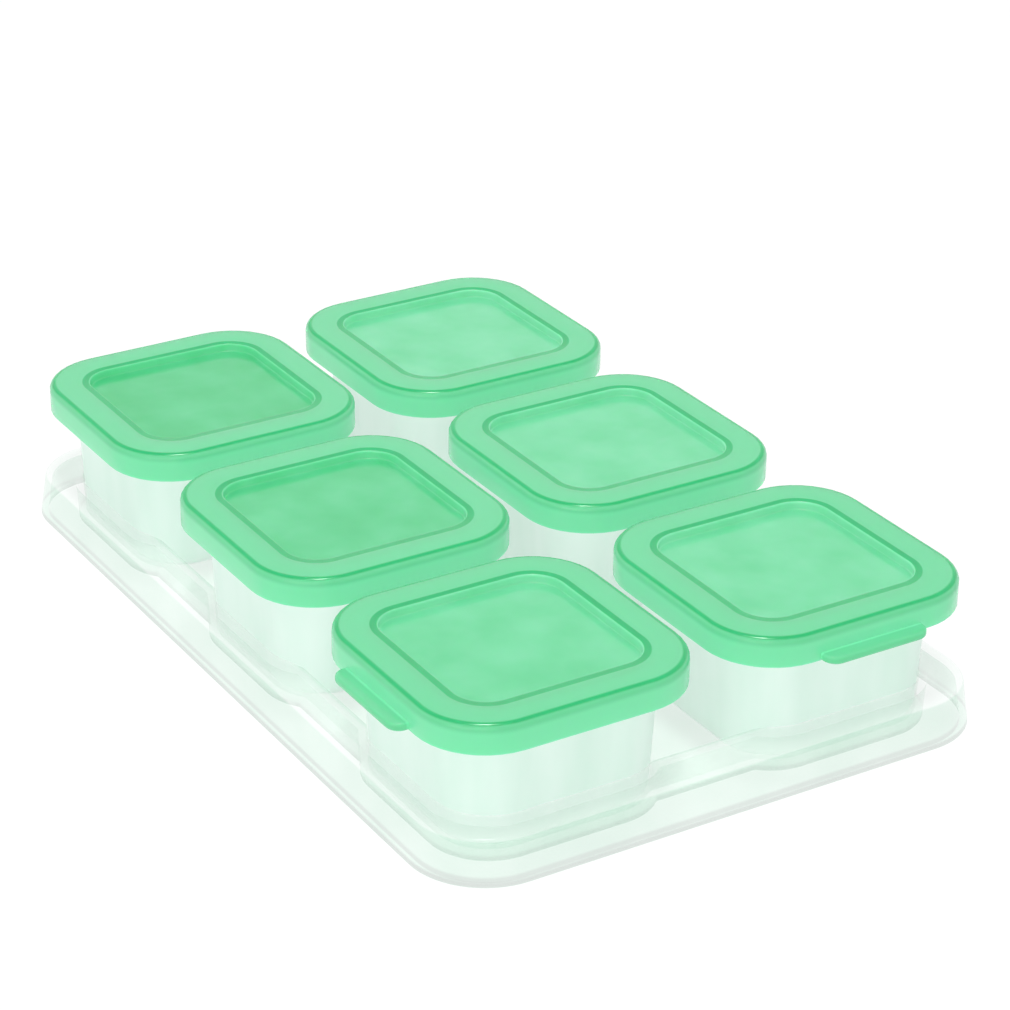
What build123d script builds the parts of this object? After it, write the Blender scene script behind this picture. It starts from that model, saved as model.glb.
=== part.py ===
from build123d import *
import os
from math import radians, tan

# A freezer storage set: a clear tray that holds a grid of square snap-lid cups.
# Millimetres, +Z up. The origin is the centre of the tray's footprint, at the level it stands on.
# +X runs along the tray's long side, so the columns follow X and the rows follow Y.
# Every cup is a piece of its own that stands on the tray's floor, and every lid sits on its cup's rim.

# ---- driving dimensions: the cup ----
CUP_BASE_SIDE = 50.8        # outside, across the flats, at the bottom
CUP_BASE_CORNER = 12.2      # corner radius of that square, seen from above
CUP_HEIGHT = 32.7
CUP_DRAFT = 3.2             # degrees that each wall leans out
CUP_WALL = 1.3
CUP_FLOOR = 1.6
CUP_HEEL = 2.4              # rounding where the wall meets the base
CUP_INSIDE_HEEL = 3.0       # rounding at the bottom of the hollow
FOOT_RING_WIDTH = 5.0       # flat ring that the cup stands on
FOOT_RECESS = 0.5           # how far the base is sunk inside that ring
RIM_REACH = 3.07            # how far the rim stands out from the wall, along the flats
RIM_CORNER = 14.5
RIM_THICKNESS = 2.0
RIM_EDGE = 0.5              # rounding of the rim's edges

# ---- driving dimensions: the lid ----
LID_HEIGHT = 7.0
LID_TOP = 1.6               # thickness of the flat band
LID_WALL = 1.6              # thickness of the skirt
LID_EDGE = 1.6              # rounding of the top outer edge
SKIRT_CLEARANCE = 0.6       # between the cup's rim and the inside of the skirt
BEAD_CLEARANCE = 0.3        # between the cup's rim and the snap bead
BEAD_HEIGHT = 0.9
BEAD_DROP = 0.5             # from the underside of the rim to the top of the bead
PLUG_CLEARANCE = 0.35       # between the sealing plug and the cup's mouth
PLUG_WALL = 1.1             # thickness of the plug's lip, below the panel
PLUG_DEPTH = 2.6
PANEL_INSET = 2.8           # from the outside of the plug to the edge of the sunken panel
PANEL_CORNER = 7.6
PANEL_DEPTH = 2.0
PANEL_THICKNESS = 1.4
PANEL_EDGE = 0.6            # rounding at the top and the foot of the panel's wall
TAB_WIDTH = 27.4            # pull tab, along the skirt
TAB_REACH = 4.0
TAB_THICKNESS = 2.0
TAB_CORNER = 3.4
TAB_EDGE = 0.6

# ---- driving dimensions: the tray ----
ROW_NAMES = ("front", "back")
COLUMN_NAMES = ("left", "middle", "right")
LID_GAP_X = 8.8             # between neighbouring lids
LID_GAP_Y = 7.4
TRAY_HEIGHT = 10.6
TRAY_WALL = 1.8
TRAY_FLOOR = 1.8
TRAY_CORNER = 18.4          # corner radius at the foot
TRAY_DRAFT = 8.7            # degrees that the outer wall leans in
TRAY_EDGE = 1.4             # rounding of the outer top edge
LEDGE_X = 8.8               # flat ledge beside the end cups
LEDGE_Y = 7.5               # flat ledge beside the long rows
POCKET_CLEARANCE = 0.45     # around each cup
POCKET_EDGE = 0.5           # rounding of the pockets' top edge
WEB_REACH_X = 4.0           # how far the ledge reaches in between two cups at the ends
WEB_REACH_Y = 3.4           # the same between the columns, along the long sides
WEB_CORNER = 2.5            # rounding where a web meets a pocket
WEB_SLOPE_WIDTH = 2.6       # sloped finger land on each web
WEB_SLOPE_DROP = 1.0

SAME_PLACE = 0.01           # points nearer than this count as one

# ---- sizes that follow ----
SEAT_Z = TRAY_FLOOR                                 # the cups stand here
LEAN = tan(radians(CUP_DRAFT))                      # sideways growth of a wall per mm of height
CUP_TOP_SIDE = CUP_BASE_SIDE + 2 * CUP_HEIGHT * LEAN
MOUTH_SIDE = CUP_TOP_SIDE - 2 * CUP_WALL
MOUTH_CORNER = CUP_BASE_CORNER + CUP_HEIGHT * LEAN - CUP_WALL
RIM_SIDE = CUP_TOP_SIDE + 2 * RIM_REACH
RIM_Z = SEAT_Z + CUP_HEIGHT                         # top of the cup, where the lid's band rests

SKIRT_INSIDE = RIM_SIDE + 2 * SKIRT_CLEARANCE
SKIRT_INSIDE_CORNER = RIM_CORNER + SKIRT_CLEARANCE
LID_SIDE = SKIRT_INSIDE + 2 * LID_WALL
LID_CORNER = SKIRT_INSIDE_CORNER + LID_WALL
LID_TOP_Z = RIM_Z + LID_TOP
LID_BOTTOM_Z = LID_TOP_Z - LID_HEIGHT
PLUG_SIDE = MOUTH_SIDE - 2 * (PLUG_CLEARANCE + PLUG_DEPTH * LEAN)
PLUG_CORNER = MOUTH_CORNER - PLUG_CLEARANCE - PLUG_DEPTH * LEAN
PANEL_SIDE = PLUG_SIDE - 2 * PANEL_INSET
PANEL_Z = LID_TOP_Z - PANEL_DEPTH

PITCH_X = LID_SIDE + LID_GAP_X
PITCH_Y = LID_SIDE + LID_GAP_Y
SPAN_X = (len(COLUMN_NAMES) - 1) * PITCH_X          # between the centres of the end cups
SPAN_Y = (len(ROW_NAMES) - 1) * PITCH_Y

POCKET_FLOOR_SIDE = CUP_BASE_SIDE + 2 * POCKET_CLEARANCE
POCKET_FLOOR_CORNER = CUP_BASE_CORNER + POCKET_CLEARANCE
POCKET_DEPTH = TRAY_HEIGHT - TRAY_FLOOR
POCKET_TOP_SIDE = POCKET_FLOOR_SIDE + 2 * POCKET_DEPTH * LEAN
WELL_LENGTH = SPAN_X + POCKET_FLOOR_SIDE - 2 * WEB_REACH_X
WELL_WIDTH = SPAN_Y + POCKET_FLOOR_SIDE - 2 * WEB_REACH_Y
TRAY_LEAN = tan(radians(TRAY_DRAFT))
TRAY_LENGTH = SPAN_X + POCKET_TOP_SIDE + 2 * (LEDGE_X + TRAY_HEIGHT * TRAY_LEAN)
TRAY_WIDTH = SPAN_Y + POCKET_TOP_SIDE + 2 * (LEDGE_Y + TRAY_HEIGHT * TRAY_LEAN)

# The side of the set that each lid's pull tab faces. SIDES goes round by quarter turns, anticlockwise.
SIDES = ("front", "right", "back", "left")
TAB_FACES = {
    "front_left": "left", "front_middle": "back", "front_right": "front",
    "back_left": "back", "back_middle": "back", "back_right": "right",
}


def block(length, width, corner, z_low, z_high, lean_out=0.0):
    """A rounded-corner block whose walls lean out by that many degrees on the way up."""
    outline = RectangleRounded(length, width, corner)
    return Pos(0, 0, z_low) * extrude(outline, amount=z_high - z_low, taper=-lean_out)


def square_block(side, corner, z_low, z_high, lean_out=0.0):
    return block(side, side, corner, z_low, z_high, lean_out)


def ring(outside, outside_corner, wall, z_low, z_high):
    """A square ring with straight walls."""
    outer = square_block(outside, outside_corner, z_low, z_high)
    return outer - square_block(outside - 2 * wall, outside_corner - wall, z_low, z_high)


def edges_within(part, height, half_x, half_y):
    """The edges at one height whose middles lie inside a rectangle about the origin, or on its sides."""
    level = part.edges().filter_by_position(Axis.Z, height - SAME_PLACE, height + SAME_PLACE)
    beside = level.filter_by_position(Axis.X, -half_x - SAME_PLACE, half_x + SAME_PLACE)
    return beside.filter_by_position(Axis.Y, -half_y - SAME_PLACE, half_y + SAME_PLACE)


def cup():
    """An open cup with a flat rim, standing at the tray's floor level."""
    body = square_block(CUP_BASE_SIDE, CUP_BASE_CORNER, SEAT_Z, RIM_Z, CUP_DRAFT)
    body = fillet(body.edges().group_by(Axis.Z)[0], CUP_HEEL)
    rim = square_block(RIM_SIDE, RIM_CORNER, RIM_Z - RIM_THICKNESS, RIM_Z)
    rim = fillet(rim.edges().group_by(Axis.Z)[0] + rim.edges().group_by(Axis.Z)[-1], RIM_EDGE)
    hollow_z = SEAT_Z + CUP_FLOOR
    hollow_side = CUP_BASE_SIDE + 2 * (CUP_FLOOR * LEAN - CUP_WALL)
    hollow_corner = CUP_BASE_CORNER + CUP_FLOOR * LEAN - CUP_WALL
    hollow = square_block(hollow_side, hollow_corner, hollow_z, RIM_Z, CUP_DRAFT)
    hollow = fillet(hollow.edges().group_by(Axis.Z)[0], CUP_INSIDE_HEEL)
    recess_side = CUP_BASE_SIDE - 2 * FOOT_RING_WIDTH
    recess = square_block(recess_side, CUP_BASE_CORNER - FOOT_RING_WIDTH, SEAT_Z, SEAT_Z + FOOT_RECESS)
    return body + rim - hollow - recess


def pull_tab():
    """The grip at the foot of the skirt, on the -Y side, reaching back into the skirt's wall."""
    root = LID_SIDE / 2 - LID_WALL / 2
    tip = LID_SIDE / 2 + TAB_REACH
    plate = Pos(0, -tip / 2) * RectangleRounded(TAB_WIDTH, tip, TAB_CORNER)
    plate = extrude(plate, amount=TAB_THICKNESS)
    plate = fillet(plate.edges().group_by(Axis.Z)[0] + plate.edges().group_by(Axis.Z)[-1], TAB_EDGE)
    keep = Pos(0, -root - tip / 2) * Box(2 * TAB_WIDTH, tip, 4 * TAB_THICKNESS)
    return Pos(0, 0, LID_BOTTOM_Z) * (plate & keep)


def plug():
    """The block that fills the cup's mouth: solid round the sunken panel, with a thin lip below it."""
    solid = square_block(PLUG_SIDE, PLUG_CORNER, RIM_Z - PLUG_DEPTH, LID_TOP_Z - LID_TOP / 2)
    hollow = square_block(
        PLUG_SIDE - 2 * PLUG_WALL, PLUG_CORNER - PLUG_WALL, RIM_Z - PLUG_DEPTH, PANEL_Z - PANEL_THICKNESS)
    return solid - hollow


def lid():
    """A lid seated on its cup: flat band, sunken panel, skirt with a snap bead, sealing plug and tab."""
    shell = square_block(LID_SIDE, LID_CORNER, LID_BOTTOM_Z, LID_TOP_Z)
    shell = fillet(shell.edges().group_by(Axis.Z)[-1], LID_EDGE)
    shell += pull_tab()
    shell -= square_block(SKIRT_INSIDE, SKIRT_INSIDE_CORNER, LID_BOTTOM_Z, RIM_Z)
    shell += plug()
    panel = square_block(PANEL_SIDE, PANEL_CORNER, PANEL_Z, LID_TOP_Z + PANEL_DEPTH)
    panel = fillet(panel.edges().group_by(Axis.Z)[0], PANEL_EDGE)
    shell -= panel
    shell = fillet(edges_within(shell, LID_TOP_Z, PANEL_SIDE / 2, PANEL_SIDE / 2), PANEL_EDGE)
    bead_top = RIM_Z - RIM_THICKNESS - BEAD_DROP
    bead_wall = SKIRT_CLEARANCE - BEAD_CLEARANCE
    shell += ring(SKIRT_INSIDE, SKIRT_INSIDE_CORNER, bead_wall, bead_top - BEAD_HEIGHT, bead_top)
    return shell


def grid():
    """Yields each place's name and centre: front to back, left to right."""
    for row, row_name in enumerate(ROW_NAMES):
        for column, column_name in enumerate(COLUMN_NAMES):
            x = column * PITCH_X - SPAN_X / 2
            y = row * PITCH_Y - SPAN_Y / 2
            yield f"{row_name}_{column_name}", x, y


def well(grow, z_low, z_high):
    """The scalloped hollow that the cups stand in, larger by grow on every side, leaning as the cups do."""
    outline = Rectangle(WELL_LENGTH + 2 * grow, SPAN_Y) + Rectangle(SPAN_X, WELL_WIDTH + 2 * grow)
    pocket = RectangleRounded(
        POCKET_FLOOR_SIDE + 2 * grow, POCKET_FLOOR_SIDE + 2 * grow, POCKET_FLOOR_CORNER + grow)
    for _, x, y in grid():
        outline += Pos(x, y) * pocket
    half_x = WELL_LENGTH / 2 + grow
    half_y = WELL_WIDTH / 2 + grow
    at_ends = [v for v in outline.vertices() if abs(abs(v.X) - half_x) < SAME_PLACE]
    at_sides = [v for v in outline.vertices() if abs(abs(v.Y) - half_y) < SAME_PLACE]
    outline = fillet(at_ends + at_sides, WEB_CORNER - grow)
    return Pos(0, 0, z_low) * extrude(outline, amount=z_high - z_low, taper=-CUP_DRAFT)


def wedge(bottom_x, bottom_y, top_x, top_y):
    """A block in the ledge's top, with its sides sloped where the top is larger than the bottom."""
    bottom = Pos(0, 0, TRAY_HEIGHT - WEB_SLOPE_DROP) * Rectangle(bottom_x, bottom_y)
    top = Pos(0, 0, TRAY_HEIGHT) * Rectangle(top_x, top_y)
    return loft([bottom.face(), top.face()])


def finger_lands():
    """What slopes the inner edge of every web: one wedge for the ends, one for the long sides."""
    rise = 2 * (POCKET_DEPTH - WEB_SLOPE_DROP) * LEAN
    spread = rise + 2 * WEB_SLOPE_WIDTH
    ends = wedge(WELL_LENGTH + rise, SPAN_Y, WELL_LENGTH + spread, SPAN_Y)
    sides = wedge(SPAN_X, WELL_WIDTH + rise, SPAN_X, WELL_WIDTH + spread)
    return ends + sides


def tray():
    """A one-wall moulding: sloped outer wall, level ledge, scalloped inner wall and a floor."""
    outer = block(TRAY_LENGTH, TRAY_WIDTH, TRAY_CORNER, 0, TRAY_HEIGHT, -TRAY_DRAFT)
    outer = fillet(outer.edges().group_by(Axis.Z)[-1], TRAY_EDGE)
    inner = block(
        TRAY_LENGTH - 2 * TRAY_WALL, TRAY_WIDTH - 2 * TRAY_WALL, TRAY_CORNER - TRAY_WALL,
        0, TRAY_HEIGHT - TRAY_WALL, -TRAY_DRAFT)
    basin = well(TRAY_WALL, 0, TRAY_HEIGHT)
    body = (outer - inner) + (basin & outer)
    body -= well(0, TRAY_FLOOR, TRAY_HEIGHT)
    pocket_edges = edges_within(
        body, TRAY_HEIGHT, TRAY_LENGTH / 2 - TRAY_HEIGHT * TRAY_LEAN - LEDGE_X / 2,
        TRAY_WIDTH / 2 - TRAY_HEIGHT * TRAY_LEAN - LEDGE_Y / 2)
    body = fillet(pocket_edges, POCKET_EDGE)
    return body - finger_lands()


def main():
    os.makedirs("parts", exist_ok=True)
    nodes = {"tray": tray()}
    one_cup = cup()
    one_lid = lid()
    for place, x, y in grid():
        quarter_turns = SIDES.index(TAB_FACES[place])
        nodes[f"cup_{place}"] = Pos(x, y) * one_cup
        nodes[f"lid_{place}"] = Pos(x, y) * Rot(0, 0, 90 * quarter_turns) * one_lid
    for name, solid in nodes.items():
        export_step(solid, f"parts/{name}.step")
    print("tray", round(TRAY_LENGTH, 2), "x", round(TRAY_WIDTH, 2), "lid side", round(LID_SIDE, 2))
    print("pitch", round(PITCH_X, 2), round(PITCH_Y, 2), "overall height", round(LID_TOP_Z, 2))


main()
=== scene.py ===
# %% [markdown]
# # Freezer storage set: six snap-lid cups in a clear tray
# Three plastics make this set. The tray is clear polystyrene, stiff and glassy. The cups are natural
# polypropylene, milky because the plastic is partly crystalline. The lids are soft mint green
# polyethylene, and they let some light through, so every step in their section shows as a deeper green
# line, which this script paints into the colour as shade.
#
# The tray and the cups come in as they were designed, and this script only dresses them. The lids are
# modelled again with true thin walls and finer roundings, because they are what the eye goes to first.

# %% Load the imported model
import math

import bmesh
import bpy
from mathutils import Matrix, Vector


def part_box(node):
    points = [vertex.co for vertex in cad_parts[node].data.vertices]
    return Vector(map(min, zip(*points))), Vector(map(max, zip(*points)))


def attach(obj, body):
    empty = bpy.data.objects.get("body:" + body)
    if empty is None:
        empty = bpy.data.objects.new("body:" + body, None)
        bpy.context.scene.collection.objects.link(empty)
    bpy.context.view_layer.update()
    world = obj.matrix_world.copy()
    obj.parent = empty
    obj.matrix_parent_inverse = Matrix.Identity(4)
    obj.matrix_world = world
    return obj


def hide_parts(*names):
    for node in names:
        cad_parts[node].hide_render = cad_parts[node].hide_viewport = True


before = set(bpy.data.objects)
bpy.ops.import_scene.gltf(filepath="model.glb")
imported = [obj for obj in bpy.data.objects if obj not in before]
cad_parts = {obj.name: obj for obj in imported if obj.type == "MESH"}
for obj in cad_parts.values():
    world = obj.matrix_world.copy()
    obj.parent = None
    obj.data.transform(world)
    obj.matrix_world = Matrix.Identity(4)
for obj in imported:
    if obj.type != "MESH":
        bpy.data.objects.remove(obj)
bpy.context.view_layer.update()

MM = 0.001
print("nodes:", ", ".join(sorted(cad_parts)))

# %% [markdown]
# ## Colours and nodes
# A colour picker shows sRGB values, and shaders work in linear light, so one function turns the first
# into the second. A material could be built in the editor by hand. In a script it is shorter to have one
# small function that adds a node, sets it up and links it, so that each node of a material takes one
# statement. Some nodes have several sockets with one name, and those are given by number: on a Mix node 0
# is the factor, 2 and 3 are its two plain values, and 6 and 7 its two colours.

# %% Helpers for every material
def linear(hex_colour):
    """The linear RGBA of an sRGB hex colour."""
    parts = [int(hex_colour[i:i + 2], 16) / 255 for i in (0, 2, 4)]
    return [p / 12.92 if p <= 0.04045 else ((p + 0.055) / 1.055) ** 2.4 for p in parts] + [1.0]


def add_node(tree, kind, settings=None, **inputs):
    """Adds a node. An input is a value or an output to link, named as its socket, or _ and its number."""
    node = tree.nodes.new(kind)
    for name, value in (settings or {}).items():
        setattr(node, name, value)
    for name, value in inputs.items():
        socket = node.inputs[int(name[1:])] if name[1:].isdigit() else node.inputs[name.replace("_", " ")]
        if isinstance(value, bpy.types.NodeSocket):
            tree.links.new(value, socket)
        else:
            socket.default_value = value
    return node


def new_material(name):
    """An empty material and its node tree."""
    material = bpy.data.materials.new(name)
    material.use_nodes = True
    material.node_tree.nodes.clear()
    return material, material.node_tree


print("a mint green in linear light:", [round(part, 3) for part in linear("72D9A4")])

# %% [markdown]
# ## How moulded plastic gets its surface
# All three plastics are injection moulded, so they share two kinds of unevenness. The mould's fine polish
# leaves a faint orange peel, under half a millimetre across. The melt flows in from one point and cools
# unevenly, which leaves slow waves many millimetres wide that bend a reflection slightly. A picture could
# hold both, but noise textures need no file and have no seams. The peel is drawn a little coarser than it
# is, so that it shows. The same noise also gives slow changes of tone and gloss.

# %% The uneven surface of moulded plastic
PEEL = 0.6
WAVES = 9.0
PEEL_DEPTH = 0.004
WAVE_DEPTH = 0.05
WAVE_DETAIL = 1.0
PEEL_DETAIL = 2.0
PATCH_DETAIL = 2.0
# most of what a noise texture gives lies between these two
NOISE_LOW = 0.25
NOISE_HIGH = 0.75


def moulded_surface(tree, place, peel_depth, wave_depth):
    """A normal with fine peel on slow waves. Sizes and depths are in millimetres."""
    waves = add_node(tree, "ShaderNodeTexNoise", Vector=place, Scale=1 / (WAVES * MM), Detail=WAVE_DETAIL)
    peel = add_node(tree, "ShaderNodeTexNoise", Vector=place, Scale=1 / (PEEL * MM), Detail=PEEL_DETAIL)
    slow = add_node(
        tree, "ShaderNodeBump", Strength=1.0, Distance=wave_depth * MM, Height=waves.outputs["Fac"])
    fine = add_node(
        tree, "ShaderNodeBump", Strength=1.0, Distance=peel_depth * MM, Height=peel.outputs["Fac"],
        Normal=slow.outputs["Normal"])
    return fine.outputs["Normal"]


def uneven_value(tree, place, size, low, high):
    """A slowly changing value, mostly from low to high, with patches of the given size in millimetres."""
    noise = add_node(tree, "ShaderNodeTexNoise", Vector=place, Scale=1 / (size * MM), Detail=PATCH_DETAIL)
    return add_node(
        tree, "ShaderNodeMapRange", {"clamp": False}, Value=noise.outputs["Fac"], From_Min=NOISE_LOW,
        From_Max=NOISE_HIGH, To_Min=low, To_Max=high).outputs[0]


def height_step(tree, place, low, high):
    """A value that goes from 0 at the height low to 1 at the height high, both in millimetres."""
    height = add_node(tree, "ShaderNodeSeparateXYZ", Vector=place).outputs["Z"]
    return add_node(
        tree, "ShaderNodeMapRange", {"interpolation_type": "SMOOTHSTEP"}, Value=height,
        From_Min=low * MM, From_Max=high * MM, To_Min=0.0, To_Max=1.0).outputs[0]


print("peel", PEEL, "mm and waves", WAVES, "mm across")

# %% [markdown]
# ## Natural polypropylene, for the cups
# Polypropylene without pigment is milky, because its crystals scatter light. Light goes in, wanders a
# millimetre or two and comes out again, so shadows on it are soft and pale. Subsurface scattering draws
# that, and it stays quick because the walls don't have to be traced through. The colour is painted a very
# pale cool green, for the green light that the lids let down into the cups. Flow from the gate leaves faint
# upright streaks in the wall.

# %% The cups' material
# both tones are painted pale green, for the lids' green light that falls into the cups
CUP_PALE = "DEEFE6"
CUP_DEEP = "D5EADF"
CUP_STREAK = 8.0
STREAK_SQUEEZE = 0.2
CUP_ROUGH = 0.37
CUP_ROUGH_VARIES = 0.05
CUP_IOR = 1.49
CUP_SCATTER = 1.5

milky, tree = new_material("natural_polypropylene")
place = add_node(tree, "ShaderNodeTexCoord").outputs["Object"]
# squeezed in height, so that the noise's patches stand as upright streaks
streaks = add_node(tree, "ShaderNodeMapping", Vector=place, Scale=(1.0, 1.0, STREAK_SQUEEZE)).outputs[0]
tone = uneven_value(tree, streaks, CUP_STREAK, 0.0, 1.0)
colour = add_node(
    tree, "ShaderNodeMix", {"data_type": "RGBA"}, _0=tone, _6=linear(CUP_PALE), _7=linear(CUP_DEEP))
shader = add_node(
    tree, "ShaderNodeBsdfPrincipled", Base_Color=colour.outputs[2], IOR=CUP_IOR,
    Roughness=uneven_value(
        tree, place, WAVES, CUP_ROUGH - CUP_ROUGH_VARIES, CUP_ROUGH + CUP_ROUGH_VARIES),
    Subsurface_Weight=1.0, Subsurface_Radius=(1.0, 1.0, 1.0), Subsurface_Scale=CUP_SCATTER * MM,
    Normal=moulded_surface(tree, place, PEEL_DEPTH, WAVE_DEPTH))
add_node(tree, "ShaderNodeOutputMaterial", Surface=shader.outputs[0])
print("cups:", len(tree.nodes), "nodes")

# %% [markdown]
# ## Clear polystyrene, for the tray
# Clear polystyrene is hard and glossy and has a high IOR, so each surface gives back some light even
# where the eye looks straight through. True refraction would draw every edge of the tray as a dark line
# and take many samples. The walls are thin and the ground is bright, so a surface that is mostly
# see-through, pale and glossy gives the same light veil. Its mint is painted light and shade: the green
# light that the lids send into the set and the soft shade between the cups. Handling leaves soft clouds of
# fine scratches, drawn as a slightly deeper tone. At the foot the eye looks along the wall, through much
# plastic, and sees a thin dark line, which is painted as shade together with the contact shadow. At the rim
# the end of the wall gathers light, and a white line is painted there as a highlight.

# %% The tray's material
# painted light and shade: the mint of both tones stands for the lids' green light and the soft shade in the
# set; the clouds between them are scratches
TRAY_PALE = "D0EFDD"
TRAY_DEEP = "B4E0C8"
TRAY_FOOT_SHADE = "464242"
TRAY_RIM_HIGHLIGHT = "FFFFFF"
FOOT_SHADE_HEIGHT = 1.6
UNDERSIDE_DEPTH = 0.2
RIM_HIGHLIGHT_DEPTH = 0.7
TRAY_CLOUD = 14.0
TRAY_ROUGH = 0.16
TRAY_ROUGH_VARIES = 0.05
TRAY_IOR = 1.59
TRAY_ALPHA = 0.26

clear, tree = new_material("clear_polystyrene")
place = add_node(tree, "ShaderNodeTexCoord").outputs["Object"]
tone = uneven_value(tree, place, TRAY_CLOUD, 0.0, 1.0)
colour = add_node(
    tree, "ShaderNodeMix", {"data_type": "RGBA"}, _0=tone, _6=linear(TRAY_PALE), _7=linear(TRAY_DEEP))
tray_low, tray_high = (corner[2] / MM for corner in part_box("tray"))
# painted shade: a thin dark line at the foot, for the contact shadow and the dark seen along the wall
foot_shade = height_step(tree, place, tray_low + FOOT_SHADE_HEIGHT, tray_low + FOOT_SHADE_HEIGHT / 2)
# the painted shade covers only the foot's upright edge, not the underside
off_ground = height_step(tree, place, tray_low, tray_low + UNDERSIDE_DEPTH)
foot_shade = add_node(tree, "ShaderNodeMath", {"operation": "MULTIPLY"}, _0=foot_shade, _1=off_ground).outputs[0]
# painted highlight: a white line along the top of the rim, where the end of the wall gathers light
rim_highlight = height_step(tree, place, tray_high - RIM_HIGHLIGHT_DEPTH, tray_high - RIM_HIGHLIGHT_DEPTH / 2)
colour = add_node(
    tree, "ShaderNodeMix", {"data_type": "RGBA"}, _0=foot_shade, _6=colour.outputs[2], _7=linear(TRAY_FOOT_SHADE))
colour = add_node(
    tree, "ShaderNodeMix", {"data_type": "RGBA"}, _0=rim_highlight, _6=colour.outputs[2], _7=linear(TRAY_RIM_HIGHLIGHT))
shader = add_node(
    tree, "ShaderNodeBsdfPrincipled", Base_Color=colour.outputs[2], IOR=TRAY_IOR, Alpha=TRAY_ALPHA,
    Roughness=uneven_value(
        tree, place, WAVES, TRAY_ROUGH - TRAY_ROUGH_VARIES, TRAY_ROUGH + TRAY_ROUGH_VARIES),
    Normal=moulded_surface(tree, place, PEEL_DEPTH, WAVE_DEPTH))
add_node(tree, "ShaderNodeOutputMaterial", Surface=shader.outputs[0])
print("tray:", len(tree.nodes), "nodes")

# %% [markdown]
# ## Mint green polyethylene, for the lids
# Low density polyethylene is soft and waxy, and the pigment in it is thin, so its colour depends on how
# much plastic the light crosses. Along a wall or round an edge it crosses more, and the green is deeper
# there. The skirt, a free thin wall that light reaches from both sides, is paler. Tracing this exactly is
# slow and darkens the whole lid, so most of it is painted into the colour, from where a point lies in the
# lid's section: deeper green lines of painted shade at the edges, and painted light on the skirt and at
# the foot of the recess wall. A part comes from real transmission with absorption inside.
#
# All six lids share one material, so a point's place is first folded into one quarter of one lid: moved
# by half a pitch, wrapped at the pitch, and made positive.

# %% Sizes of the lid that its colour and its shape share, in millimetres
PITCH_X = 73.796
PITCH_Y = 72.396
LID_SIDE = 64.996
LID_CORNER = 16.7
LID_TOP_Z = 36.1
LID_BOTTOM_Z = 29.1
LID_EDGE = 1.6
PANEL_SIDE = 45.265
PANEL_CORNER = 7.6
PANEL_Z = LID_TOP_Z - 2.0
lid_low, lid_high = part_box("lid_front_middle")
print("lid side", LID_SIDE, "mm, and in the design", round((lid_high[0] - lid_low[0]) / MM, 3), "mm")

mint, tree = new_material("mint_polyethylene")
place = add_node(tree, "ShaderNodeTexCoord").outputs["Object"]
moved = add_node(
    tree, "ShaderNodeMapping", Vector=place, Location=(0, -PITCH_Y / 2 * MM, 0)).outputs[0]
wrapped = add_node(
    tree, "ShaderNodeVectorMath", {"operation": "WRAP"}, _0=moved,
    _1=(PITCH_X / 2 * MM, PITCH_Y / 2 * MM, 1), _2=(-PITCH_X / 2 * MM, -PITCH_Y / 2 * MM, -1)).outputs[0]
quarter = add_node(tree, "ShaderNodeVectorMath", {"operation": "ABSOLUTE"}, _0=wrapped).outputs[0]

# %% [markdown]
# ## Rings of green
# A ring that follows a square with round corners needs one distance. Past the centre of the corner's arc
# the distance runs round that centre, and before it only the larger coordinate counts. Taking the arc's
# centre off and cutting negative values to zero gives both at once, and the length of what is left is the
# distance.

# %% Rings round the lid
def lid_ring(tree, quarter, side, corner, out, half, soft):
    """1 on a ring that lies out beyond an outline. half is half its width, soft is how far it fades."""
    centre = (side / 2 - corner) * MM
    past = add_node(
        tree, "ShaderNodeVectorMath", {"operation": "SUBTRACT"}, _0=quarter,
        _1=(centre, centre, 0)).outputs[0]
    past = add_node(
        tree, "ShaderNodeVectorMath", {"operation": "MAXIMUM"}, _0=past, _1=(0, 0, 0)).outputs[0]
    flat = add_node(
        tree, "ShaderNodeVectorMath", {"operation": "MULTIPLY"}, _0=past, _1=(1, 1, 0)).outputs[0]
    far = add_node(tree, "ShaderNodeVectorMath", {"operation": "LENGTH"}, _0=flat).outputs["Value"]
    off = add_node(
        tree, "ShaderNodeMath", {"operation": "SUBTRACT"}, _0=far, _1=(corner + out) * MM).outputs[0]
    off = add_node(tree, "ShaderNodeMath", {"operation": "ABSOLUTE"}, _0=off).outputs[0]
    return add_node(
        tree, "ShaderNodeMapRange", {"interpolation_type": "SMOOTHSTEP"}, Value=off,
        From_Min=(half - soft) * MM, From_Max=half * MM, To_Min=1.0, To_Max=0.0).outputs[0]


print("corner centres:", round(LID_SIDE / 2 - LID_CORNER, 2), "mm out on the lid and",
      round(PANEL_SIDE / 2 - PANEL_CORNER, 2), "mm on the panel")

# %% The lid's greens
LID_MINT = "72D9A4"
# painted shade: the deeper green of the lines at the recess edge and the outer edge
LID_LINE_SHADE = "06BE75"
# painted light: the paler skirt, lit through from both sides
LID_SKIRT_LIGHT = "88EEBC"
# painted light: a paler band at the foot of the recess wall, for light that comes through the wall
LID_WALL_LIGHT = "7EE4B0"
# each ring: side and corner of its outline, how far out it lies, half its width, how far it fades
EDGE_SHADE_LINE = PANEL_SIDE, PANEL_CORNER, 1.15, 0.95, 0.3
RIM_SHADE_LINE = LID_SIDE, LID_CORNER, -1.1, 0.8, 0.6
SKIRT_LIGHT_BAND = LID_SIDE, LID_CORNER, -0.5, 1.4, 0.6
WALL_LIGHT_BAND = PANEL_SIDE, PANEL_CORNER, 0.1, 0.5, 0.35
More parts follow.
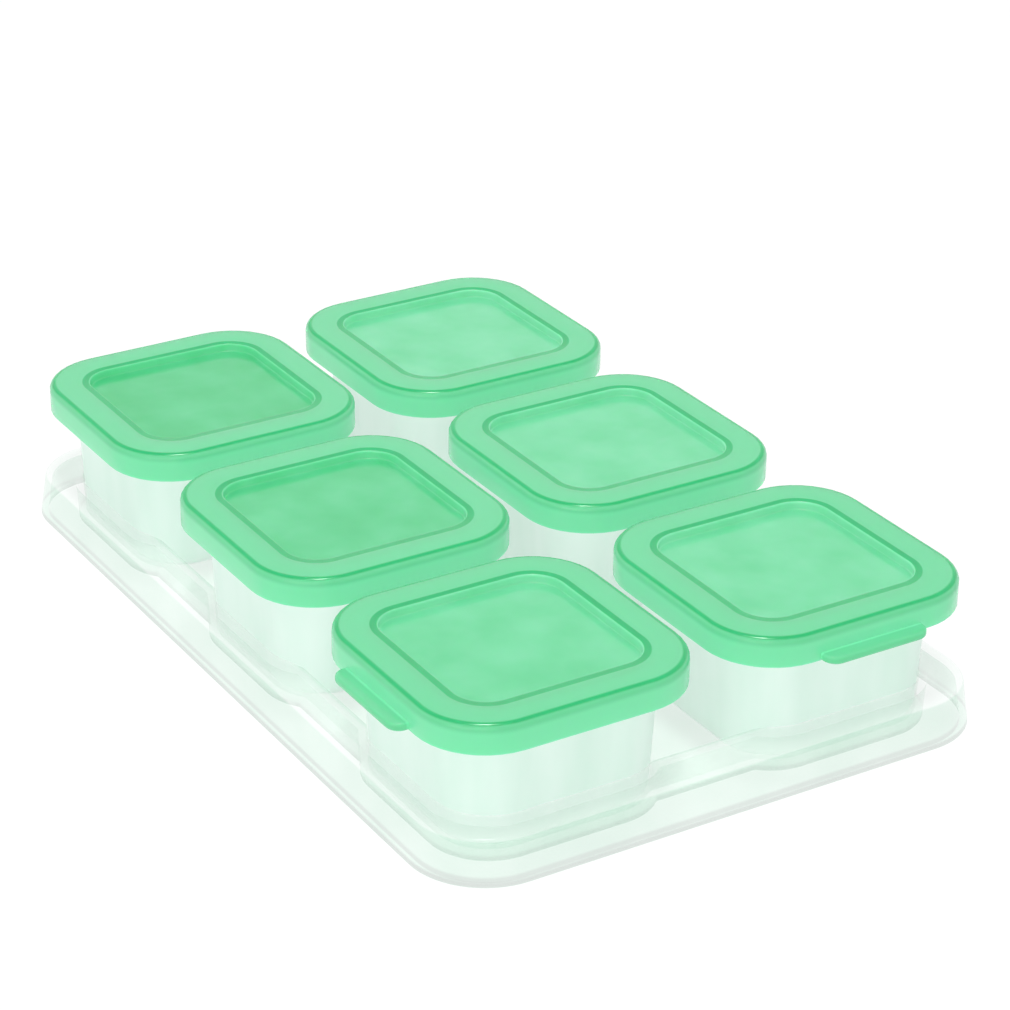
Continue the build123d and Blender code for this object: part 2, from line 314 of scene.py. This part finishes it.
# this one is so wide that it fills the whole panel
PANEL_AREA = PANEL_SIDE, PANEL_CORNER, -PANEL_CORNER / 2, PANEL_CORNER / 2 + 0.5, 0.5
LINES_FROM_Z = LID_TOP_Z - 0.6
LINES_FULL_Z = LID_TOP_Z - 0.25
SKIRT_FROM_Z = LID_TOP_Z - 0.9
SKIRT_FULL_Z = LID_TOP_Z - 2.5
PATCHES = 12.0
PATCH_DEPTH = 0.12

on_top = height_step(tree, place, LINES_FROM_Z, LINES_FULL_Z)
on_side = height_step(tree, place, SKIRT_FROM_Z, SKIRT_FULL_Z)
# painted light on the skirt, below the top
skirt = lid_ring(tree, quarter, *SKIRT_LIGHT_BAND)
skirt = add_node(tree, "ShaderNodeMath", {"operation": "MULTIPLY"}, _0=skirt, _1=on_side).outputs[0]
# painted light at the foot of the recess wall, lifting the shade in the recess
wall = lid_ring(tree, quarter, *WALL_LIGHT_BAND)
# painted shade: deeper green lines on the top, at the recess edge and round the outer edge
lines = add_node(
    tree, "ShaderNodeMath", {"operation": "MAXIMUM"}, _0=lid_ring(tree, quarter, *EDGE_SHADE_LINE),
    _1=lid_ring(tree, quarter, *RIM_SHADE_LINE)).outputs[0]
lines = add_node(tree, "ShaderNodeMath", {"operation": "MULTIPLY"}, _0=lines, _1=on_top).outputs[0]

colour = add_node(
    tree, "ShaderNodeMix", {"data_type": "RGBA"}, _0=skirt, _6=linear(LID_MINT), _7=linear(LID_SKIRT_LIGHT))
colour = add_node(
    tree, "ShaderNodeMix", {"data_type": "RGBA"}, _0=wall, _6=colour.outputs[2], _7=linear(LID_WALL_LIGHT))
colour = add_node(
    tree, "ShaderNodeMix", {"data_type": "RGBA"}, _0=lines, _6=colour.outputs[2], _7=linear(LID_LINE_SHADE))
# light that crosses n thicknesses of plastic keeps the colour of one, raised to the power of n
patches = uneven_value(tree, place, PATCHES, 1.0 - PATCH_DEPTH, 1.0 + PATCH_DEPTH)
# each lid's number: above one, its panel is a deeper green
green_depth = add_node(tree, "ShaderNodeAttribute", {"attribute_name": "panel_green_depth"}).outputs["Fac"]
green_depth = add_node(
    tree, "ShaderNodeMath", {"operation": "MULTIPLY"}, _0=patches, _1=green_depth).outputs[0]
green_depth = add_node(
    tree, "ShaderNodeMix", {"data_type": "FLOAT"}, _0=lid_ring(tree, quarter, *PANEL_AREA), _2=1.0,
    _3=green_depth).outputs[0]
colour = add_node(tree, "ShaderNodeGamma", Color=colour.outputs[2], Gamma=green_depth).outputs[0]
print("greens from", LID_LINE_SHADE, "in the lines to", LID_SKIRT_LIGHT, "on the skirt")

# %% The lids' material
LID_ROUGH = 0.2
LID_ROUGH_VARIES = 0.04
LID_IOR = 1.51
LID_TRANSMISSION = 0.25
LID_SCATTER = 1.0
LID_ABSORB = "10F4BC"
LID_DENSITY = 150.0

shader = add_node(
    tree, "ShaderNodeBsdfPrincipled", Base_Color=colour, IOR=LID_IOR, Transmission_Weight=LID_TRANSMISSION,
    Roughness=uneven_value(
        tree, place, WAVES, LID_ROUGH - LID_ROUGH_VARIES, LID_ROUGH + LID_ROUGH_VARIES),
    Subsurface_Weight=1.0, Subsurface_Radius=(1.0, 1.0, 1.0), Subsurface_Scale=LID_SCATTER * MM,
    Normal=moulded_surface(tree, place, PEEL_DEPTH, WAVE_DEPTH))
depth = add_node(tree, "ShaderNodeVolumeAbsorption", Color=linear(LID_ABSORB), Density=LID_DENSITY)
add_node(tree, "ShaderNodeOutputMaterial", Surface=shader.outputs[0], Volume=depth.outputs[0])
print("lids:", len(tree.nodes), "nodes")

# %% [markdown]
# ## Dressing the parts that come in
# Every part from the design is one object with one material slot to fill.

# %% Tray and cups
FINISHES = {"tray": clear, "cup": milky, "lid": mint}
for name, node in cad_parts.items():
    node.data.materials.clear()
    node.data.materials.append(FINISHES[name.split("_")[0]])
print("dressed", len(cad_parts), "parts")

# %% [markdown]
# ## A moulded shell from rings
# A lid has the same outline at every height, a square with round corners, only larger or smaller. Its
# section could be swept, but a spin only makes round things. So the first outline is a square whose
# corners are beveled, and each next one is an extrusion of its edges. The extruded corner fans are then
# scaled about their own centres and moved to where the next outline has them. That way every wall has one
# row of clean faces.

# %% Ring helpers
CORNER_STEPS = 10


def first_ring(bm, side, corner, z):
    """Makes a square with round corners and returns its edges, its face taken away."""
    sheet = bmesh.ops.create_grid(
        bm, x_segments=1, y_segments=1, size=side / 2 * MM, matrix=Matrix.Translation((0, 0, z * MM)))
    bmesh.ops.bevel(
        bm, geom=sheet["verts"], offset=corner * MM, segments=CORNER_STEPS, profile=0.5, affect="VERTICES",
        material=-1)
    edges = bm.edges[:]
    bmesh.ops.delete(bm, geom=bm.faces[:], context="FACES_ONLY")
    return edges


def next_ring(bm, edges, old, new):
    """Extrudes a ring, gives the new one its own side, corner radius and height, and returns its edges."""
    grown = bmesh.ops.extrude_edge_only(bm, edges=edges)["geom"]
    verts = {part for part in grown if isinstance(part, bmesh.types.BMVert)}
    rise = Vector((0, 0, (new[2] - old[2]) * MM))
    for way in (Vector((x, y, 0)) for x in (-1, 1) for y in (-1, 1)):
        fan = [vert for vert in verts if vert.co.x * way.x > 0 and vert.co.y * way.y > 0]
        centre = way * (old[0] / 2 - old[1]) * MM
        target = way * (new[0] / 2 - new[1]) * MM
        shrink = new[1] / old[1]
        bmesh.ops.scale(bm, verts=fan, vec=(shrink, shrink, 1), space=Matrix.Translation(-centre))
        bmesh.ops.translate(bm, verts=fan, vec=target - centre + rise)
    return [part for part in grown if isinstance(part, bmesh.types.BMEdge) and verts.issuperset(part.verts)]


def shell_from_rings(rings):
    """A closed shell: each ring is extruded into the next, and the two end rings are filled."""
    bm = bmesh.new()
    edges = first_ring(bm, *rings[0])
    bmesh.ops.contextual_create(bm, geom=edges)
    for old, new in zip(rings, rings[1:]):
        edges = next_ring(bm, edges, old, new)
    bmesh.ops.contextual_create(bm, geom=edges)
    bmesh.ops.recalc_face_normals(bm, faces=bm.faces)
    return bm


print("each ring has", 4 * (CORNER_STEPS + 1), "points")

# %% [markdown]
# ## The lid's section
# From the middle of the top outwards: a thin sunk panel, the wall of the recess, the raised band, a
# generous outer edge and the skirt. Then back on the inside: the bead that snaps under the cup's rim, the
# underside of the band, and the plug, a lip that seals against the inside of the cup. Moulded edges are
# never sharp, so each corner that can be seen is a quarter arc of rings.

# %% Rings of the section, each as side, corner radius and height
BAND_THICKNESS = 1.56
SKIRT_WALL = 1.6
FOOT_EDGE = 0.15
BEAD_REACH = 0.3
BEAD_LOW_Z = LID_BOTTOM_Z + 2.0
BEAD_HIGH_Z = LID_BOTTOM_Z + 2.9
PANEL_THICKNESS = 1.2
PANEL_WALL = 0.9
PANEL_EDGE = 0.4
UNDER_EDGE = 0.8
# one more ring on each flat, so that the shading stays flat up to the rounding
FLAT_MARGIN = 0.4
PLUG_SIDE = 50.865
PLUG_CORNER = 12.233
PLUG_WALL = 1.0
PLUG_BOTTOM_Z = LID_TOP_Z - 4.2
FINE_STEPS = 3
EDGE_STEPS = 6


def inset(side, corner, z, by):
    """The outline that lies a distance inside another one."""
    return side - 2 * by, corner - by, z


def quarter_arc(side, corner, z, radius, start, turn, steps):
    """Rings round an edge of the section. side, corner and z are the arc's centre, start is in degrees."""
    for step in range(steps + 1):
        angle = math.radians(start + turn * step / steps)
        yield inset(side, corner, z + radius * math.sin(angle), -radius * math.cos(angle))


def outside_rings():
    """From the middle of the panel's top to the skirt's foot."""
    foot = inset(PANEL_SIDE, PANEL_CORNER, PANEL_Z + PANEL_EDGE, PANEL_EDGE)
    yield inset(foot[0], foot[1], PANEL_Z, FLAT_MARGIN)
    yield from quarter_arc(*foot, PANEL_EDGE, -90, 90, FINE_STEPS)
    recess = inset(PANEL_SIDE, PANEL_CORNER, LID_TOP_Z - PANEL_EDGE, -PANEL_EDGE)
    yield from quarter_arc(*recess, PANEL_EDGE, 180, -90, FINE_STEPS)
    edge = inset(LID_SIDE, LID_CORNER, LID_TOP_Z - LID_EDGE, LID_EDGE)
    yield from quarter_arc(*edge, LID_EDGE, 90, -90, EDGE_STEPS)
    skirt = inset(LID_SIDE, LID_CORNER, LID_BOTTOM_Z + FOOT_EDGE, FOOT_EDGE)
    yield from quarter_arc(*skirt, FOOT_EDGE, 0, -90, FINE_STEPS)


def inside_rings():
    """From the skirt's foot to the middle of the panel's underside."""
    band_z = LID_TOP_Z - BAND_THICKNESS
    under_z = PANEL_Z - PANEL_THICKNESS
    skirt = LID_SIDE, LID_CORNER
    wall = inset(PANEL_SIDE, PANEL_CORNER, under_z + UNDER_EDGE, UNDER_EDGE - PANEL_WALL)
    for z, by in ((LID_BOTTOM_Z, 0), (BEAD_LOW_Z - BEAD_REACH, 0), (BEAD_LOW_Z, BEAD_REACH),
                  (BEAD_HIGH_Z, BEAD_REACH), (BEAD_HIGH_Z + BEAD_REACH, 0), (band_z, 0)):
        yield inset(*skirt, z, SKIRT_WALL + by)
    for z, by in ((band_z, 0), (PLUG_BOTTOM_Z, 0), (PLUG_BOTTOM_Z, PLUG_WALL), (band_z, PLUG_WALL)):
        yield inset(PLUG_SIDE, PLUG_CORNER, z, by)
    yield inset(PANEL_SIDE, PANEL_CORNER, band_z, -PANEL_WALL)
    yield from quarter_arc(*wall, UNDER_EDGE, 0, -90, FINE_STEPS)
    yield inset(wall[0], wall[1], under_z, FLAT_MARGIN)


section = list(outside_rings()) + list(inside_rings())
print("lid section:", len(section), "rings")

# %% [markdown]
# ## The pull tab
# The tab is a flat ear at the foot of the skirt. Joining a separate plate would leave a seam, so the tab
# grows out of the skirt: three cuts with bisect_plane draw its root on the wall, the root is extruded,
# its two upright edges get their large rounding and then its rim the small one.

# %% The tab on the lid's -Y side
TAB_WIDTH = 27.4
TAB_REACH = 4.0
TAB_THICKNESS = 2.0
TAB_CORNER = 3.3
TAB_EDGE = 0.6
TAB_CORNER_STEPS = 8
TAB_EDGE_STEPS = 3
TAB_RIM_ANGLE = math.radians(60)
NEAR = 1e-6


def cut_wall(bm, faces, co, no):
    """Cuts some faces of the mesh with a plane."""
    geom = set(faces) | {e for f in faces for e in f.edges} | {v for f in faces for v in f.verts}
    bmesh.ops.bisect_plane(bm, geom=list(geom), plane_co=co, plane_no=no, dist=NEAR / 10)


def add_tab(bm):
    """Grows the pull tab from the foot of the skirt."""
    wall_y = -LID_SIDE / 2 * MM
    tip_y = wall_y - TAB_REACH * MM
    half = TAB_WIDTH / 2 * MM
    top_z = (LID_BOTTOM_Z + TAB_THICKNESS) * MM

    def wall_faces():
        return [f for f in bm.faces if all(abs(v.co.y - wall_y) < NEAR for v in f.verts)]

    for x in (-half, half):
        cut_wall(bm, wall_faces(), (x, 0, 0), (1, 0, 0))
    cut_wall(bm, wall_faces(), (0, 0, top_z), (0, 0, 1))
    root = [
        f for f in wall_faces()
        if abs(f.calc_center_median().x) < half and f.calc_center_median().z < top_z]
    grown = bmesh.ops.extrude_face_region(bm, geom=root)["geom"]
    bmesh.ops.delete(bm, geom=root, context="FACES_ONLY")
    tip = [part for part in grown if isinstance(part, bmesh.types.BMVert)]
    bmesh.ops.translate(bm, verts=tip, vec=(0, tip_y - wall_y, 0))
    corners = [
        e for e in bm.edges if abs(e.verts[0].co.x - e.verts[1].co.x) < NEAR
        and all(abs(v.co.y - tip_y) < NEAR and half - abs(v.co.x) < NEAR for v in e.verts)]
    bmesh.ops.bevel(
        bm, geom=corners, offset=TAB_CORNER * MM, segments=TAB_CORNER_STEPS, profile=0.5,
        affect="EDGES", material=-1)
    rims = [
        e for e in bm.edges if min(v.co.y for v in e.verts) < wall_y - NEAR
        and abs(e.verts[0].co.z - e.verts[1].co.z) < NEAR and e.calc_face_angle(0) > TAB_RIM_ANGLE]
    bmesh.ops.bevel(
        bm, geom=rims, offset=TAB_EDGE * MM, segments=TAB_EDGE_STEPS, profile=0.5,
        affect="EDGES", material=-1)
    bmesh.ops.recalc_face_normals(bm, faces=bm.faces)
    print("tab: root faces", len(root), "corners", len(corners), "rim edges", len(rims))

# %% One lid, at the origin
SHARP_ANGLE = 35

bm = shell_from_rings(section)
add_tab(bm)
loose = [edge for edge in bm.edges if not edge.is_manifold]
volume = bm.calc_volume() / MM ** 3
print("lid:", len(bm.faces), "faces,", len(loose), "open edges,", round(volume), "cubic millimetres")
lid_pattern = bpy.data.meshes.new("lid_pattern")
bm.to_mesh(lid_pattern)
bm.free()
lid_pattern.shade_smooth()
lid_pattern.set_sharp_from_angle(angle=math.radians(SHARP_ANGLE))
lid_pattern.materials.append(mint)

# %% [markdown]
# ## Six lids in their places
# The lids are one moulding, snapped on in whichever turn the hand left them, so the tabs point to
# different sides. Each lid is a copy of the pattern with its turn and place put into the mesh itself,
# because a pattern on object coordinates has to find it there. Each stands for its lid in the design and
# moves with the same body.
#
# Some panels are a deeper green than others, and slow patches vary the green across each one. Each mesh
# carries a number for its panel in an attribute that the material reads, and above one it deepens that
# panel's green.

# %% The lids
SIDES = ("front", "right", "back", "left")
COLUMNS = {"left": -1, "middle": 0, "right": 1}
ROWS = {"front": -0.5, "back": 0.5}
TAB_SIDES = {
    "front_left": "left", "front_middle": "back", "front_right": "front",
    "back_left": "back", "back_middle": "back", "back_right": "right",
}
PANEL_GREEN_DEPTHS = {
    "front_left": 1.30, "front_middle": 1.22, "front_right": 1.0,
    "back_left": 0.92, "back_middle": 0.93, "back_right": 0.95,
}
lids = []
for place_name, side in TAB_SIDES.items():
    row, column = place_name.split("_")
    there = Matrix.Translation((COLUMNS[column] * PITCH_X * MM, ROWS[row] * PITCH_Y * MM, 0))
    mesh = lid_pattern.copy()
    mesh.transform(there @ Matrix.Rotation(math.radians(90 * SIDES.index(side)), 4, "Z"))
    green_depth = mesh.attributes.new("panel_green_depth", "FLOAT", "POINT")
    green_depth.data.foreach_set("value", [PANEL_GREEN_DEPTHS[place_name]] * len(mesh.vertices))
    lid = bpy.data.objects.new(f"snap_lid_{place_name}", mesh)
    bpy.context.collection.objects.link(lid)
    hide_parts(f"lid_{place_name}")
    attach(lid, f"lid_{place_name}")
    lids.append(lid)
    print("lid", place_name, "tab to the", side)

# %% [markdown]
# ## Light between the pieces
# All three plastics let light through, so the gaps between the cups are bright on the real set, and no
# piece throws a hard shade on its neighbour. A renderer counts every surface as a shade, so the pieces
# are left out when soft light is gathered for the other ones. The tray and the lids are also left out of
# the lamps' shadows. The cups stay in those, because they are what darkens the ground a little where they
# stand.

# %% Nothing shades its neighbour
for piece in [*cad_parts.values(), *lids]:
    piece.visible_diffuse = False
for piece in [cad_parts["tray"], *lids]:
    piece.visible_shadow = False
print("soft light passes", len(lids) + len(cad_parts), "pieces")

# %% [markdown]
# ## A white ground
# The set stands on a white sweep that is lit until it is pure white, with only the soft shadow where
# things touch. A floor that glowed for every ray would light the cups from below, so it glows only for
# what the eye sees straight, mirrored or through the plastic. The glow is mixed with plain white card,
# which takes the shadow, and the glow's strength is a little over one, to make up for card that the lamps
# leave slightly grey. The sky does the same: plain white to the eye, at a plain level to everything that
# it lights.

# %% Floor and sky
FLOOR_SIZE = 6
CARD_WHITE = "F4F4F4"
FLOOR_GAP = 0.05
FLOOR_GLOW = 0.76
GLOW_LIGHT = 1.06
SKY_LIGHT = 0.8


def seen_by_eye(tree):
    """1 for rays that the eye follows straight, mirrored or through plastic, and 0 for rays that light."""
    path = add_node(tree, "ShaderNodeLightPath")
    seen = add_node(
        tree, "ShaderNodeMath", {"operation": "MAXIMUM"}, _0=path.outputs["Is Camera Ray"],
        _1=path.outputs["Is Glossy Ray"])
    return add_node(
        tree, "ShaderNodeMath", {"operation": "MAXIMUM"}, _0=seen.outputs[0],
        _1=path.outputs["Is Transmission Ray"]).outputs[0]


# two faces in one plane show as streaks, so the card lies a hair below the tray's underside
bpy.ops.mesh.primitive_plane_add(size=FLOOR_SIZE, location=(0, 0, -FLOOR_GAP * MM))
floor = bpy.context.object
floor.name = "floor"
sweep, tree = new_material("matt_white_card")
amount = add_node(tree, "ShaderNodeMath", {"operation": "MULTIPLY"}, _0=seen_by_eye(tree), _1=FLOOR_GLOW)
card = add_node(tree, "ShaderNodeBsdfDiffuse", Color=linear(CARD_WHITE))
glow = add_node(tree, "ShaderNodeEmission", Color=(1, 1, 1, 1), Strength=GLOW_LIGHT)
mix = add_node(
    tree, "ShaderNodeMixShader", _0=amount.outputs[0], _1=card.outputs[0], _2=glow.outputs[0])
add_node(tree, "ShaderNodeOutputMaterial", Surface=mix.outputs[0])
floor.data.materials.append(sweep)

world = bpy.data.worlds.new("white_sky")
bpy.context.scene.world = world
world.use_nodes = True
tree = world.node_tree
tree.nodes.clear()
level = add_node(tree, "ShaderNodeMapRange", Value=seen_by_eye(tree), To_Min=SKY_LIGHT, To_Max=1.0)
sky = add_node(tree, "ShaderNodeBackground", Color=(1, 1, 1, 1), Strength=level.outputs[0])
add_node(tree, "ShaderNodeOutputWorld", Surface=sky.outputs[0])
print("sky level:", SKY_LIGHT)

# %% [markdown]
# ## Two lamps
# A small round lamp overhead puts a bright spot on each rounded corner, which is what tells the eye that
# the plastic is glossy. A large soft panel at the front right, low down, lifts the upright faces to the
# brightness of the lids' tops.

# %% Lamps
KEY = 2.8
KEY_SIZE = 0.16
KEY_Z = 1.0
FILL = 3.6
FILL_X = 0.75
FILL_Y = -0.9
FILL_Z = 0.45
FILL_WIDTH = 1.2
FILL_HEIGHT = 0.8
OBJECT_MIDDLE = Vector((0, 0, 0.02))


def area_lamp(name, place, shape, width, height, watts):
    """An area lamp that looks at the middle of the set."""
    data = bpy.data.lights.new(name, "AREA")
    data.shape = shape
    data.size = width
    data.size_y = height
    data.energy = watts
    lamp = bpy.data.objects.new(name, data)
    turn = (place - OBJECT_MIDDLE).to_track_quat("Z", "Y").to_matrix().to_4x4()
    lamp.matrix_world = Matrix.Translation(place) @ turn
    bpy.context.collection.objects.link(lamp)
    print("lamp", name, watts, "W")


area_lamp("key", Vector((0, 0, KEY_Z)), "DISK", KEY_SIZE, KEY_SIZE, KEY)
area_lamp("fill", Vector((FILL_X, FILL_Y, FILL_Z)), "RECTANGLE", FILL_WIDTH, FILL_HEIGHT, FILL)

# %% [markdown]
# ## The camera
# A long lens from the front right corner, a little above, shows the tops, both near sides and the depth
# of the tray. The camera's axes are built from its two angles and its roll, so that each stays a plain
# number.

# %% Camera
AZIMUTH = math.radians(58.49)
ELEVATION = math.radians(26.39)
ROLL = math.radians(0.60)
DISTANCE = 0.7427
TARGET = Vector((0.01957, -0.00447, 0.0361))
LENS = 114.42
SENSOR_WIDTH = 36

back = Vector((
    math.sin(AZIMUTH) * math.cos(ELEVATION), -math.cos(AZIMUTH) * math.cos(ELEVATION), math.sin(ELEVATION)))
level_right = Vector((0, 0, 1)).cross(back).normalized()
level_up = back.cross(level_right)
right = level_right * math.cos(ROLL) + level_up * math.sin(ROLL)
up = level_up * math.cos(ROLL) - level_right * math.sin(ROLL)
camera_data = bpy.data.cameras.new("camera")
camera_data.lens = LENS
camera_data.sensor_width = SENSOR_WIDTH
camera = bpy.data.objects.new("camera", camera_data)
bpy.context.collection.objects.link(camera)
turn = Matrix((right, up, back)).transposed().to_4x4()
camera.matrix_world = Matrix.Translation(TARGET + back * DISTANCE) @ turn
bpy.context.scene.camera = camera
bpy.context.scene.view_settings.view_transform = "Standard"
print("camera at", [round(part, 3) for part in camera.matrix_world.translation])
